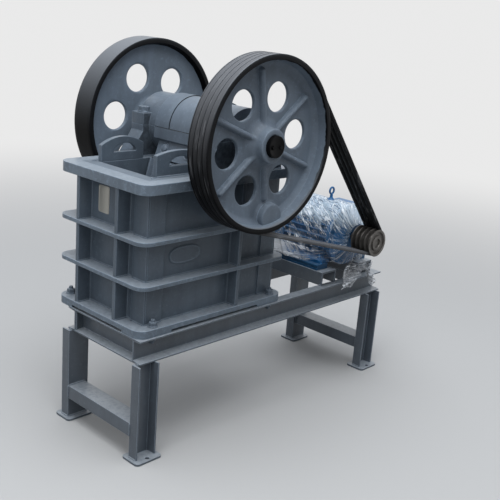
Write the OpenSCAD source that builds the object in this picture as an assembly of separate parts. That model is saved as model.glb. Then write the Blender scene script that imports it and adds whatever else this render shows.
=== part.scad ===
// Jaw crusher on a welded channel stand, driven by V belts from a motor.
// Millimetres. X runs along the stand from the feed end to the motor end,
// Y runs across it with the grooved flywheel at -Y, and Z is up from the floor.
// The origin is on the floor, midway along the whole machine and between its flywheels.

/* [Stand] */
// Length of the stand along X
stand_length = 1590; // [1400:5:1900]
// Width of the stand over its long beams
stand_width = 480; // [440:5:560]
// Height of the stand's top face
stand_height = 512; // [420:1:700]
// Depth of the channel section
channel_depth = 100; // [80:1:120]
// Flange width of the channel section
channel_flange = 48; // [40:1:56]
// Web thickness of the channel section
channel_web = 5.3; // [4:0.1:8]
// Flange thickness of the channel section
channel_lip = 8.5; // [6:0.1:12]
// How far the front legs reach past the front end of the beams
leg_front_reach = 15; // [0:1:40]
// How far the rear legs are set in from the rear end of the beams
leg_rear_inset = 17; // [0:1:60]
// How far the legs stand out sideways past the long beams
leg_out = 20; // [5:1:40]
// Length of a foot plate along X
foot_length = 132; // [110:1:170]
// Width of a foot plate across Y
foot_width = 102; // [80:1:130]
// Thickness of a foot plate
foot_thick = 10; // [6:1:16]
// Radius of the bolt hole in a foot plate
foot_hole_r = 9; // [5:0.5:12]
// Height of the lower cross braces' under side
brace_low = 100; // [60:1:180]
// Height of a lower cross brace
brace_high = 58; // [40:1:80]
// Width of a lower cross brace along X
brace_wide = 85; // [60:1:100]
// Wall of the lower cross braces
brace_wall = 6; // [4:0.5:10]

/* [Crusher body] */
// Length of the body over its flanges
body_length = 832; // [780:2:900]
// Width of the body over its flanges
body_width = 560; // [520:2:620]
// Sideways offset of the stand's middle from the body's middle
stand_offset = 50; // [0:1:60]
// Depth of the wall panels behind the flange edges at the feed end
wall_in_front = 70; // [55:1:90]
// Depth of the wall panels behind the flange edges at the rear
wall_in_rear = 40; // [30:1:60]
// Depth of the wall panels behind the flange edges at the sides
wall_in_side = 60; // [50:1:80]
// Thickness of the wall panels
wall_thick = 30; // [20:1:40]
// Thickness of the raised corner strips
strip_thick = 8; // [4:1:14]
// Width of the raised corner strips
strip_wide = 82; // [60:1:100]
// Thickness of the four corner pads under the body
pad_thick = 12; // [6:1:20]
// Thickness of the base flange
base_thick = 21; // [14:1:30]
// Height of the lower rib above the stand
rib_lower_up = 197; // [150:1:240]
// Height of the upper rib above the stand
rib_upper_up = 374; // [330:1:420]
// Thickness of the two ribs
rib_thick = 16; // [10:1:24]
// Height of the body's top face above the stand
body_high = 612; // [560:1:680]
// Thickness of the top flange
top_thick = 41; // [24:1:50]
// Corner radius of the flanges
flange_corner = 50; // [20:1:70]
// Thickness of the upright stiffeners
fin_thick = 17; // [10:1:24]

/* [Feed mouth] */
// Height of the arched side guards over the body's top face
guard_high = 100; // [80:1:120]
// Thickness of the side guards
guard_thick = 20; // [12:1:26]
// Length of the side guards
guard_side_long = 230; // [180:1:245]
// Half of the length of the half-moon slot in a guard
slot_r = 58; // [30:1:60]
// Thickness of the side liners
liner_thick = 30; // [20:1:36]
// Length of the side liners
liner_long = 400; // [300:5:480]
// Gap between a jaw plate and the liner beside it
jaw_clear = 12; // [6:1:24]
// Depth of a tooth on the jaw plates
tooth_deep = 15; // [8:1:20]
// Thickness of the jaw plates behind the teeth
jaw_back = 35; // [25:1:45]

/* [Shaft and flywheels] */
// Distance of the shaft from the feed end
shaft_in = 527; // [510:1:545]
// Height of the shaft above the body's top face
shaft_up = 136; // [128:1:150]
// Radius of a flywheel
wheel_r = 357.5; // [340:0.5:380]
// Width of a flywheel's rim
wheel_wide = 110.5; // [100:0.5:120]
// Gap between a flywheel's rim and the body's flanges
wheel_gap = 27; // [15:1:40]
// Radial width of the flat face on a flywheel's rim
rim_face = 22; // [14:1:26]
// Radial thickness of a flywheel's rim
rim_thick = 30; // [28:1:40]
// Thickness of a flywheel's web
web_thick = 18; // [10:1:26]
// Depth of the web behind the rim's outer face
web_in = 61; // [40:1:70]
// Radius of the six lightening holes
web_hole_r = 60.5; // [40:0.5:66]
// Radius of the circle through the lightening holes
web_hole_pitch = 198; // [190:1:215]
// Radius of the shaft in the flywheels
shaft_r = 45; // [38:1:48]
// Radius of the shaft in its bearings
journal_r = 50; // [49:1:56]
// Radius of the shaft in the swing jaw
eccentric_r = 60; // [57:1:70]
// Running clearance around a journal
run_fit = 0.05; // [0.02:0.01:0.1]
// Radius of the black end caps on the shaft
cap_r = 48.7; // [46:0.1:56]

/* [Drive] */
// Distance of the motor shaft from the feed end
motor_in = 1336; // [1320:1:1370]
// Height of the motor's shaft above its feet
motor_shaft_up = 132; // [120:1:180]
// Height of the rails under the motor's feet
rail_high = 26.5; // [20:0.5:45]
// Width of a motor rail
rail_wide = 80; // [60:1:90]
// Radius of the motor pulley
pulley_r = 66.25; // [64:0.25:95]
// Number of belts
belts = 4; // [2:1:4]
// Spacing of the belts
belt_pitch = 25.5; // [24:0.5:27]
// Half of the top width of a groove
groove_half = 11.2; // [10:0.1:12]
// Depth of a groove
groove_deep = 18; // [15:0.5:20]
// Thickness of a belt
belt_thick = 14; // [10:0.5:15]
// Clearance between a belt and its groove
belt_gap = 0.6; // [0.4:0.1:1]
// Height of the beams under the motor
motor_beam_high = 66; // [50:1:80]
// Width of the beams under the motor
motor_beam_wide = 108; // [80:1:120]
// Wall of the beams under the motor
motor_beam_wall = 8; // [5:0.5:12]
// Half of the distance between the beams under the motor
motor_beam_half = 146; // [130:1:170]

/* [Hidden] */
$fn = 48;
fine = 96;
over = 1;

top_z = stand_height;
beam_low = top_z - channel_depth;
half_width = stand_width / 2;
web_y = half_width - channel_flange;
leg_web_y = half_width + leg_out - channel_flange;
stand_y = -stand_offset;
front_over = leg_front_reach + (foot_length - channel_depth) / 2;
feed_x = (front_over - stand_length) / 2;
rear_x = feed_x + stand_length;
shaft_x = feed_x + shaft_in;
motor_x = feed_x + motor_in;

body_low = -body_width / 2;
wall_x0 = feed_x + wall_in_front;
wall_x1 = feed_x + body_length - wall_in_rear;
wall_y0 = body_low + wall_in_side;
wall_y1 = body_low + body_width - wall_in_side;
base_z = top_z + pad_thick;
rib_lower_z = top_z + rib_lower_up;
rib_upper_z = top_z + rib_upper_up;
body_top = top_z + body_high;
flange_z = body_top - top_thick;

shaft_z = body_top + shaft_up;
wheel_y = body_low - wheel_gap - wheel_wide;

liner_y = wall_y0 + wall_thick + liner_thick;
jaw_wide = -2 * (liner_y + jaw_clear);
jaw_y0 = -jaw_wide / 2;
backing_x = wall_x0 + wall_thick + 25;
fixed_face_x = backing_x + jaw_back + tooth_deep;
jaw_low = top_z + 60;
fixed_top = body_top - 42;

motor_beam_top = top_z + motor_beam_high;
motor_z = motor_beam_top + rail_high + motor_shaft_up;

// Channel section with its web on the Y axis and its flanges towards +X.
module channel_profile(depth = channel_depth, flange = channel_flange) {
  polygon([[0, 0], [flange, 0], [flange, channel_lip * 0.75],
    [channel_web, channel_lip * 1.25], [channel_web, depth - channel_lip * 1.25],
    [flange, depth - channel_lip * 0.75], [flange, depth], [0, depth]]);
}

// Plate with rounded corners, from one corner.
module rounded_plate(long, wide, thick, corner) {
  linear_extrude(thick)
    translate([corner, corner])
      offset(r = corner, $fn = 32)
        square([long - 2 * corner, wide - 2 * corner]);
}

// Turns a shape drawn in X and Z, with its height running towards -Y.
module upright(y = 0) {
  translate([0, y, 0])
    rotate([90, 0, 0])
      children();
}

// The same piece on the other side of the body's middle plane.
module other_side() {
  mirror([0, 1, 0])
    children();
}

// A piece of the stand, drawn about its own middle plane, on its +Y side.
module on_stand() {
  translate([0, stand_y, 0])
    children();
}

// The same piece on the stand's -Y side.
module near_on_stand() {
  translate([0, stand_y, 0])
    mirror([0, 1, 0])
      children();
}

module long_beam() {
  translate([feed_x, web_y, beam_low])
    rotate([90, 0, 90])
      linear_extrude(stand_length)
        channel_profile();
}

module long_beam_far() {
  on_stand()
    long_beam();
}

module long_beam_near() {
  near_on_stand()
    long_beam();
}

module end_beam_rear() {
  translate([rear_x - channel_flange, stand_y + web_y, beam_low])
    rotate([90, 0, 0])
      linear_extrude(2 * web_y)
        channel_profile();
}

module end_beam_front() {
  translate([feed_x + channel_flange, stand_y + web_y, beam_low])
    mirror([1, 0, 0])
      rotate([90, 0, 0])
        linear_extrude(2 * web_y)
          channel_profile();
}

// Leg of one channel on a foot plate, on the +Y side, starting at x.
module leg(x) {
  middle_y = leg_web_y + channel_flange / 2;
  translate([x + channel_depth, leg_web_y, foot_thick])
    rotate([0, 0, 90])
      linear_extrude(beam_low - foot_thick)
        channel_profile();
  difference() {
    translate([x + channel_depth / 2 - foot_length / 2, middle_y - foot_width / 2, 0])
      rounded_plate(foot_length, foot_width, foot_thick, 16);
    translate([x + channel_depth / 2, foot_hole_y(), -over])
      cylinder(r = foot_hole_r, h = foot_thick + 2 * over);
  }
}

function foot_hole_y() = leg_web_y + channel_flange / 2 + foot_width / 2 - 18;

front_leg_x = feed_x - leg_front_reach;
rear_leg_x = rear_x - leg_rear_inset - channel_depth;

module leg_far_front() {
  on_stand()
    leg(front_leg_x);
}

module leg_near_front() {
  near_on_stand()
    leg(front_leg_x);
}

module leg_far_rear() {
  on_stand()
    leg(rear_leg_x);
}

module leg_near_rear() {
  near_on_stand()
    leg(rear_leg_x);
}

// Folded channel lying with its back up, between the webs of two legs.
module brace(x) {
  translate([x, stand_y - leg_web_y, brace_low])
    difference() {
      cube([brace_wide, 2 * leg_web_y, brace_high]);
      translate([brace_wall, -over, -brace_wall])
        cube([brace_wide - 2 * brace_wall, 2 * leg_web_y + 2 * over, brace_high]);
    }
}

module brace_front() {
  brace(front_leg_x);
}

module brace_rear() {
  brace(rear_leg_x + channel_depth - brace_wide);
}

// Flat ring around the body's walls with rounded outer corners.
module body_ring(thick) {
  difference() {
    translate([feed_x, body_low, 0])
      rounded_plate(body_length, body_width, thick, flange_corner);
    translate([wall_x0, wall_y0, -over])
      cube([wall_x1 - wall_x0, wall_y1 - wall_y0, thick + 2 * over]);
  }
}

pad_long = 165;
pad_wide = 110;

module base_flange() {
  translate([0, 0, base_z])
    body_ring(base_thick);
  for (x = [feed_x, feed_x + body_length - pad_long])
    for (y = [body_low, body_low + body_width - pad_wide])
      intersection() {
        translate([x, y, top_z])
          cube([pad_long, pad_wide, pad_thick]);
        translate([0, 0, top_z])
          body_ring(pad_thick);
      }
}

module rib_lower() {
  translate([0, 0, rib_lower_z])
    body_ring(rib_thick);
}

module rib_upper() {
  translate([0, 0, rib_upper_z])
    body_ring(rib_thick);
}

module top_flange() {
  translate([0, 0, flange_z])
    body_ring(top_thick);
}

// Bottom and top heights of the three bays between the flanges and ribs.
bays = [[base_z + base_thick, rib_lower_z],
  [rib_lower_z + rib_thick, rib_upper_z],
  [rib_upper_z + rib_thick, flange_z]];

module front_wall() {
  translate([wall_x0, wall_y0, base_z])
    cube([wall_thick, wall_y1 - wall_y0, body_top - base_z]);
  translate([wall_x0 + wall_thick, wall_y0 + wall_thick, base_z])
    cube([backing_x - wall_x0 - wall_thick, wall_y1 - wall_y0 - 2 * wall_thick, body_top - base_z]);
  for (bay = bays) {
    for (y = [wall_y0 - strip_thick, wall_y1 + strip_thick - strip_wide])
      translate([wall_x0 - strip_thick, y, bay[0]])
        cube([strip_thick, strip_wide, bay[1] - bay[0]]);
    for (y = [-107 - fin_thick / 2, 145 - fin_thick / 2])
      translate([feed_x + 5, y, bay[0]])
        cube([wall_in_front - 5, fin_thick, bay[1] - bay[0]]);
  }
}

rear_hole_z = top_z + 78;

module rear_wall() {
  difference() {
    union() {
      translate([wall_x1 - wall_thick, wall_y0, base_z])
        cube([wall_thick, wall_y1 - wall_y0, body_top - base_z]);
      translate([wall_x1 - wall_thick - 90, wall_y0 + wall_thick, toggle_z - 70])
        cube([90, wall_y1 - wall_y0 - 2 * wall_thick, 140]);
      for (bay = bays)
        for (y = [wall_y0 - strip_thick, wall_y1 + strip_thick - strip_wide])
          translate([wall_x1, y, bay[0]])
            cube([strip_thick, strip_wide, bay[1] - bay[0]]);
    }
    translate([wall_x1 - wall_thick - 90 - over, wall_y0 + wall_thick - over, toggle_z - 30])
      cube([40 + over, wall_y1 - wall_y0 - 2 * wall_thick + 2 * over, 60]);
    translate([wall_x1 - wall_thick - over, 0, rear_hole_z])
      rotate([0, 90, 0])
        cylinder(r = 16, h = wall_thick + 2 * over);
  }
}

module side_wall_near() {
  translate([wall_x0 + wall_thick, wall_y0, base_z])
    cube([wall_x1 - wall_x0 - 2 * wall_thick, wall_thick, body_top - base_z]);
  for (bay = bays) {
    translate([wall_x0, wall_y0 - strip_thick, bay[0]])
      cube([strip_wide, strip_thick, bay[1] - bay[0]]);
    translate([wall_x1 - strip_wide, wall_y0 - strip_thick, bay[0]])
      cube([strip_wide, strip_thick, bay[1] - bay[0]]);
    translate([shaft_x - 2, body_low + 6, bay[0]])
      cube([fin_thick, wall_in_side - 6, bay[1] - bay[0]]);
  }
}

module side_wall_far() {
  other_side()
    side_wall_near();
}

module liner_near() {
  translate([backing_x, wall_y0 + wall_thick, jaw_low])
    cube([liner_long, liner_thick, body_top - jaw_low]);
}

module liner_far() {
  other_side()
    liner_near();
}

// Plan of a toothed jaw plate with its back on x = 0.
teeth = 9;
module jaw_plan() {
  pitch = jaw_wide / teeth;
  polygon(concat([[0, 0]],
    [for (i = [0 : teeth - 1]) each [
      [jaw_back, pitch * i], [jaw_back, pitch * (i + 0.12)],
      [jaw_back + tooth_deep, pitch * (i + 0.4)], [jaw_back + tooth_deep, pitch * (i + 0.6)],
      [jaw_back, pitch * (i + 0.88)]]],
    [[jaw_back, jaw_wide], [0, jaw_wide]]));
}

module fixed_jaw_plate() {
  translate([backing_x, jaw_y0, jaw_low])
    linear_extrude(fixed_top - jaw_low)
      jaw_plan();
}

// Outline of a guard plate with an arched top, from its lower left corner.
// Its half-moon slot has its middle at slot_in and a flat floor at slot_up.
module guard_plan(wide, shoulder, top, slot_in, slot_up) {
  sag = top - shoulder;
  arc_r = (wide * wide / 4 + sag * sag) / (2 * sag);
  difference() {
    union() {
      square([wide, shoulder]);
      intersection() {
        translate([wide / 2, top - arc_r])
          circle(r = arc_r, $fn = 96);
        translate([0, shoulder - over])
          square([wide, sag + over]);
      }
    }
    intersection() {
      translate([slot_in, slot_up])
        scale([1, slot_squash])
          circle(r = slot_r);
      translate([slot_in - slot_r, slot_up])
        square([2 * slot_r, slot_r]);
    }
  }
}

slot_squash = 0.62;
near_guard_x = backing_x + 9.5;
far_guard_x = backing_x + 1.5;
far_guard_long = guard_side_long - 12;
guard_side_y = liner_y - guard_thick;

module guard_near() {
  upright(liner_y)
    translate([near_guard_x, body_top, 0])
      linear_extrude(guard_thick)
        guard_plan(guard_side_long, guard_high - 16, guard_high, guard_side_long / 2 + 6, 40);
}

module guard_far() {
  upright(-guard_side_y)
    translate([far_guard_x, body_top, 0])
      linear_extrude(guard_thick)
        guard_plan(far_guard_long, guard_high - 32, guard_high, far_guard_long / 2 + 12, 36);
}

// Pedestal that carries one end of the shaft, with a sloping toe at each end.
seat_half = 163.5;
seat_toe = 231;
seat_y = wall_y0 - 48;
seat_wide = 78;
cap_outer = 130;
cap_boss = 50;
cover_y = liner_y + 13;

// Upper or lower half of a bearing's round housing, up to its inner end.
module housing_half(y, long, up) {
  intersection() {
    translate([shaft_x, y, shaft_z])
      rotate([-90, 0, 0])
        cylinder(r = cap_outer, h = long, $fn = fine);
    translate([shaft_x - cap_outer, y, up ? shaft_z : shaft_z - cap_outer])
      cube([2 * cap_outer, long, cap_outer]);
  }
}

module shaft_bore(y, long, r) {
  translate([shaft_x, y - over, shaft_z])
    rotate([-90, 0, 0])
      cylinder(r = r, h = long + 2 * over, $fn = fine);
}

module bearing_seat_near() {
  difference() {
    union() {
      translate([shaft_x, 0, shaft_z])
        upright(seat_y + seat_wide)
          linear_extrude(seat_wide)
            polygon([[-seat_toe, -shaft_up], [-seat_toe + 5, 16 - shaft_up], [-seat_half, -26], [-seat_half, 0],
              [seat_half, 0], [seat_half, -26], [seat_toe - 5, 16 - shaft_up], [seat_toe, -shaft_up]]);
      housing_half(seat_y + seat_wide - over, cover_y - seat_y - seat_wide + over, false);
    }
    shaft_bore(seat_y, cover_y - seat_y, journal_r + run_fit);
  }
}

module bearing_seat_far() {
  other_side()
    bearing_seat_near();
}

module bearing_cap_near() {
  difference() {
    union() {
      housing_half(seat_y, cover_y - seat_y, true);
      translate([shaft_x - seat_half, seat_y, shaft_z])
        cube([2 * seat_half, seat_wide, cap_boss]);
    }
    shaft_bore(seat_y, cover_y - seat_y, journal_r + run_fit);
  }
}

module bearing_cap_far() {
  other_side()
    bearing_cap_near();
}

hub_out = 3;
cap_long = 22;

module crankshaft() {
  half = hub_out - wheel_y;
  translate([shaft_x, 0, shaft_z])
    rotate([-90, 0, 0]) {
      translate([0, 0, -half])
        cylinder(r = shaft_r, h = 2 * half, $fn = fine);
      translate([0, 0, seat_y - 4])
        cylinder(r = journal_r, h = 2 * (4 - seat_y), $fn = fine);
      translate([0, 0, cover_y + 1])
        cylinder(r = eccentric_r, h = -2 * (cover_y + 1), $fn = fine);
      for (z = [-half - cap_long, half])
        translate([0, 0, z])
          cylinder(r = cap_r, h = cap_long, $fn = fine);
    }
}

// Half section of a flywheel: radius, then depth from the rim's outer face.
hub_r = 69;
hub_root = 100;
rim_in = wheel_r - rim_thick;
hub_in = web_in + web_thick + 26;

function groove_points(r) = [for (i = [0 : belts - 1]) each [
  [r, groove_z(i) - groove_half],
  [r - groove_deep, groove_z(i) - groove_half + groove_deep * tan(19)],
  [r - groove_deep, groove_z(i) + groove_half - groove_deep * tan(19)],
  [r, groove_z(i) + groove_half]]];

function groove_z(i) = wheel_wide / 2 + (i - (belts - 1) / 2) * belt_pitch;

module wheel_section(grooved) {
  polygon(concat(
    [[shaft_r, -hub_out], [hub_r - 4, -hub_out], [hub_r, 1], [hub_r + 2, web_in - 34],
      [hub_root, web_in], [rim_in - 20, web_in], [rim_in - 7, web_in - 5], [rim_in + 1, web_in - 16],
      [wheel_r - rim_face, 0], [wheel_r - 2, 0], [wheel_r, 2]],
    grooved ? groove_points(wheel_r) : [],
    [[wheel_r, wheel_wide - 2], [wheel_r - 2, wheel_wide], [wheel_r - rim_face, wheel_wide],
      [rim_in, web_in + web_thick + 8], [rim_in - 12, web_in + web_thick],
      [hub_root, web_in + web_thick], [hub_r + 4, web_in + web_thick + 14],
      [hub_r, hub_in], [shaft_r, hub_in]]));
}

// Flywheel with its outer face at y = 0 and its axis on Y.
module flywheel(grooved, phase) {
  difference() {
    union() {
      rotate([-90, 0, 0])
        rotate_extrude($fn = fine)
          wheel_section(grooved);
      for (i = [0 : 5])
        rotate([0, -phase - 30 - 60 * i, 0])
          translate([0, web_in - 20, 0])
            wheel_rib();
      rotate([0, -phase + 144, 0])
        translate([rim_in - 48, web_in + over, 0])
          rotate([90, 0, 0]) {
            cylinder(r = 44, h = 16);
            cylinder(r = 58, h = 7);
          }
    }
    for (i = [0 : 5])
      rotate([0, -phase - 60 * i, 0])
        translate([web_hole_pitch, web_in - over - 30, 0])
          rotate([-90, 0, 0])
            cylinder(r = web_hole_r, h = web_thick + 60);
  }
}

// Tapered rib on the web with a round end, from the hub outwards along X.
module wheel_rib() {
  start = hub_r - 4;
  end = rim_in - 30;
  rotate([90, 0, 0])
    translate([0, 0, -20 - over])
      linear_extrude(16 + over)
        hull() {
          translate([start, 0])
            circle(r = 14, $fn = 24);
          translate([end, 0])
            circle(r = 8, $fn = 24);
        }
}

wheel_phase = 68.1;

module flywheel_near() {
  translate([shaft_x, wheel_y, shaft_z])
    flywheel(true, wheel_phase);
}

module flywheel_far() {
  other_side()
    translate([shaft_x, wheel_y, shaft_z])
      flywheel(false, 54.3);
}

barrel_r = 137;
swing_half = -cover_y - 7;
brow_half = swing_half - 18;
seat_top = [shaft_x - 115.5, shaft_z - 142];
seat_tilt = 15;
seat_long = 565;
seat_gap = 0.05;
toggle_z = top_z + 170;

// Side view of the swing jaw's arm, under its barrel and behind the jaw plate.
module arm_side() {
  low = [seat_top[0] - seat_long * sin(seat_tilt), seat_top[1] - seat_long * cos(seat_tilt)];
  polygon([seat_top, low,
    [low[0] + 70, low[1] - 8], [low[0] + 120, toggle_z - 40], [low[0] + 190, toggle_z - 30],
    [low[0] + 190, toggle_z + 40], [low[0] + 160, toggle_z + 90],
    [shaft_x + 20, shaft_z - 200], [shaft_x + 110, shaft_z - 80], [shaft_x, shaft_z],
    [shaft_x - 100, shaft_z - 60]]);
}

// Side view of the brow between the barrel and the jaw plate.
module brow_side() {
  polygon([[shaft_x - 124.5, shaft_z - 40], [shaft_x - 124.5, shaft_z - 47],
    [shaft_x - 151.5, shaft_z - 127], seat_top, [shaft_x, shaft_z - 120], [shaft_x, shaft_z - 40]]);
}

// Side view of the slab that closes the gap between the barrel and the brow.
module slab_side() {
  polygon([[shaft_x - 143, shaft_z + 2], [shaft_x - 143, shaft_z - 45],
    [shaft_x, shaft_z - 45], [shaft_x, shaft_z + 2]]);
}

module swing_jaw() {
  difference() {
    union() {
      translate([shaft_x, -swing_half, shaft_z])
        rotate([-90, 0, 0]) {
          cylinder(r = barrel_r, h = 2 * swing_half, $fn = fine);
          translate([0, 0, 2 * swing_half - 88])
            cylinder(r = barrel_r + 3, h = 88, $fn = fine);
        }
      upright(swing_half)
        linear_extrude(2 * swing_half) {
          arm_side();
          slab_side();
        }
      upright(brow_half)
        linear_extrude(2 * brow_half)
          brow_side();
    }
    shaft_bore(-swing_half, 2 * swing_half, eccentric_r + run_fit);
  }
}

module swing_jaw_plate() {
  translate([seat_top[0], jaw_y0, seat_top[1]])
    rotate([0, seat_tilt, 0])
      translate([-seat_gap, 0, -seat_long + 6])
        linear_extrude(seat_long - 8)
          mirror([1, 0])
            jaw_plan();
}

toggle_x = seat_top[0] - seat_long * sin(seat_tilt) + 190;

module toggle_plate() {
  long = wall_x1 - wall_thick - 90 + 28 - toggle_x;
  translate([toggle_x, jaw_y0 + 20, toggle_z - 10])
    cube([long, jaw_wide - 40, 20]);
}

module tension_spring() {
  translate([wall_x1, 0, rear_hole_z])
    rotate([0, 90, 0]) {
      translate([0, 0, -70])
        cylinder(r = 10, h = 190);
      cylinder(r = 34, h = 8);
      for (i = [0 : 4])
        translate([0, 0, 8 + i * 14])
          cylinder(r1 = 24, r2 = 30, h = 7);
      for (i = [0 : 4])
        translate([0, 0, 15 + i * 14])
          cylinder(r1 = 30, r2 = 24, h = 7);
      translate([0, 0, 78])
        cylinder(r = 34, h = 8);
      translate([0, 0, 86])
        cylinder(r = 18, h = 18, $fn = 6);
    }
}

// V belts: one section swept round the wheel and the pulley and along both straight runs.
belt_dx = motor_x - shaft_x;
belt_dz = motor_z - shaft_z;
belt_span = sqrt(belt_dx * belt_dx + belt_dz * belt_dz);
belt_tilt = atan2(belt_dz, belt_dx);
belt_open = acos((wheel_r - pulley_r) / belt_span);
belt_top = groove_half - belt_gap;
belt_low = belt_top - belt_thick * tan(19);
belt_sink = 1;
wheel_steps = 36;
pulley_steps = 12;

// The four corners of the belt's section at an angle round a centre on X.
function belt_corners(centre, r, turn) = [
  for (corner = [[r, -belt_top], [r, belt_top], [r - belt_thick, belt_low], [r - belt_thick, -belt_low]])
    [centre + corner[0] * cos(turn), corner[0] * sin(turn), corner[1]]];

belt_stations = concat(
  [for (i = [0 : wheel_steps])
    belt_corners(0, wheel_r - belt_sink, belt_open + i * (360 - 2 * belt_open) / wheel_steps)],
  [for (i = [0 : pulley_steps])
    belt_corners(belt_span, pulley_r - belt_sink, -belt_open + i * 2 * belt_open / pulley_steps)]);

module belt_loop() {
  count = len(belt_stations);
  rotate([0, 0, belt_tilt])
    polyhedron(
      points = [for (station = belt_stations) each station],
      faces = [for (i = [0 : count - 1], k = [0 : 3])
        [4 * i + k, 4 * i + (k + 1) % 4,
          4 * ((i + 1) % count) + (k + 1) % 4, 4 * ((i + 1) % count) + k]]);
}

module v_belts() {
  for (i = [0 : belts - 1])
    translate([shaft_x, wheel_y + groove_z(i), shaft_z])
      rotate([90, 0, 0])
        belt_loop();
}

// Folded channel lying with its back up, across the two long beams.
module motor_beam(x) {
  translate([x - motor_beam_wide / 2, stand_y - web_y - 18, top_z])
    difference() {
      cube([motor_beam_wide, 2 * web_y + 36, motor_beam_high]);
      translate([motor_beam_wall, -over, -motor_beam_wall])
        cube([motor_beam_wide - 2 * motor_beam_wall, 2 * web_y + 36 + 2 * over, motor_beam_high]);
    }
}

module motor_beam_front() {
  motor_beam(motor_x - motor_beam_half);
}

module motor_beam_rear() {
  motor_beam(motor_x + motor_beam_half);
}

rail_out = 154.5;
rail_y = -220;
rail_long = 340;

// Pair of folded slide rails under the motor's feet, along the two beams.
module motor_rails() {
  for (side = [-1, 1])
    translate([motor_x + side * rail_out, rail_y, motor_beam_top])
      upright(rail_long)
        linear_extrude(rail_long)
          polygon([[-rail_wide / 2, 0], [rail_wide / 2, 0], [rail_wide / 2, rail_high],
            [-rail_wide / 2, rail_high], [-rail_wide / 2, rail_high * 0.6],
            [-rail_wide / 2 + 5, rail_high * 0.55], [-rail_wide / 2 + 5, rail_high * 0.45],
            [-rail_wide / 2, rail_high * 0.4]]);
}

frame_r = 132;
frame_y0 = -240;
frame_long = 315;
fan_long = 115;
motor_shaft_r = 21;

module motor_body() {
  difference() {
    translate([motor_x, frame_y0, motor_z])
      rotate([-90, 0, 0]) {
        cylinder(r = frame_r, h = frame_long, $fn = 72);
        cylinder(r = frame_r + 18, h = 22, $fn = 72);
        translate([0, 0, -30])
          cylinder(r1 = 70, r2 = 120, h = 30, $fn = 72);
        translate([0, 0, frame_long - 22])
          cylinder(r = frame_r + 18, h = 22, $fn = 72);
        for (i = [0 : 31])
          rotate([0, 0, i * 360 / 32])
            translate([frame_r - 4, -1.5, 20])
              cube([22, 3, frame_long - 40]);
      }
    translate([motor_x, frame_y0 - 31, motor_z])
      rotate([-90, 0, 0])
        cylinder(r = motor_shaft_r + run_fit, h = 100);
  }
  for (side = [-1, 1])
    translate([motor_x + side * 127, frame_y0 + 30, motor_beam_top + rail_high])
      translate([-38, 0, 0]) {
        cube([76, 270, 16]);
        translate([side > 0 ? 0 : 52, 20, 10])
          cube([24, 230, 60]);
      }
  translate([motor_x + 100, frame_y0 + 90, motor_z + 40])
    cube([90, 130, 80]);
}

module fan_cover() {
  translate([motor_x, frame_y0 + frame_long, motor_z])
    rotate([-90, 0, 0]) {
      cylinder(r = frame_r + 12, h = fan_long - 20, $fn = 72);
      translate([0, 0, fan_long - 20])
        cylinder(r1 = frame_r + 12, r2 = frame_r - 20, h = 20, $fn = 72);
    }
}

module motor_pulley() {
  translate([motor_x, wheel_y, motor_z])
    rotate([-90, 0, 0]) {
      rotate_extrude($fn = 72)
        polygon(concat([[0, 8], [34, 8], [36, 0], [50, 0], [52, 6], [pulley_r - 8, 6],
            [pulley_r - 6, 0], [pulley_r, 0]],
          groove_points(pulley_r),
          [[pulley_r, wheel_wide], [30, wheel_wide], [0, wheel_wide]]));
      cylinder(r = motor_shaft_r, h = frame_y0 + 60 - wheel_y);
    }
}

long_beam_near();
long_beam_far();
end_beam_front();
end_beam_rear();
leg_near_front();
leg_far_front();
leg_near_rear();
leg_far_rear();
brace_front();
brace_rear();
motor_beam_front();
motor_beam_rear();
base_flange();
rib_lower();
rib_upper();
top_flange();
front_wall();
rear_wall();
side_wall_near();
side_wall_far();
liner_near();
liner_far();
fixed_jaw_plate();
guard_near();
guard_far();
bearing_seat_near();
bearing_seat_far();
bearing_cap_near();
bearing_cap_far();
crankshaft();
flywheel_near();
flywheel_far();
swing_jaw();
swing_jaw_plate();
toggle_plate();
tension_spring();
v_belts();
motor_rails();
motor_body();
fan_cover();
motor_pulley();
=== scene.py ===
"""Looks for the jaw crusher on its channel stand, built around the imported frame."""

import bmesh
import bpy
import numpy as np
from mathutils import Matrix, Vector


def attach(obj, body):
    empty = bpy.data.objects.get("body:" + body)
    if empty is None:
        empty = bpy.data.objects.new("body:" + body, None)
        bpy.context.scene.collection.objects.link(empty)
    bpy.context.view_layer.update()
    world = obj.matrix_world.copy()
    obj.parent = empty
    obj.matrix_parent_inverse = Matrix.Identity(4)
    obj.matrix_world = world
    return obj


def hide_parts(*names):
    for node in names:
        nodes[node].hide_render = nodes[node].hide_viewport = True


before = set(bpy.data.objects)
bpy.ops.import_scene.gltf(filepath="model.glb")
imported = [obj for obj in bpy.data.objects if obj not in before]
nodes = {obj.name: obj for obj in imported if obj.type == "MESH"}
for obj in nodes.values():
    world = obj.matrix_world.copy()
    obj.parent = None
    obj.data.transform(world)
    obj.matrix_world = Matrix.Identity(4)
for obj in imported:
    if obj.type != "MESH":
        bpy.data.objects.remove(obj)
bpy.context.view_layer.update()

# Camera
# A hand-held view from the feed end and the belt side, with a slight roll, matched to
# the stand, the flanges and both flywheels.
VIEW_FROM = Vector((-2.6789, -2.5715, 1.7873))
VIEW_AZIMUTH, VIEW_DOWN, VIEW_ROLL = 0.8264, 0.2874, 0.0801
VIEW_FOCAL_PX, VIEW_WIDE_PX = 827.7, 500

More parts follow.
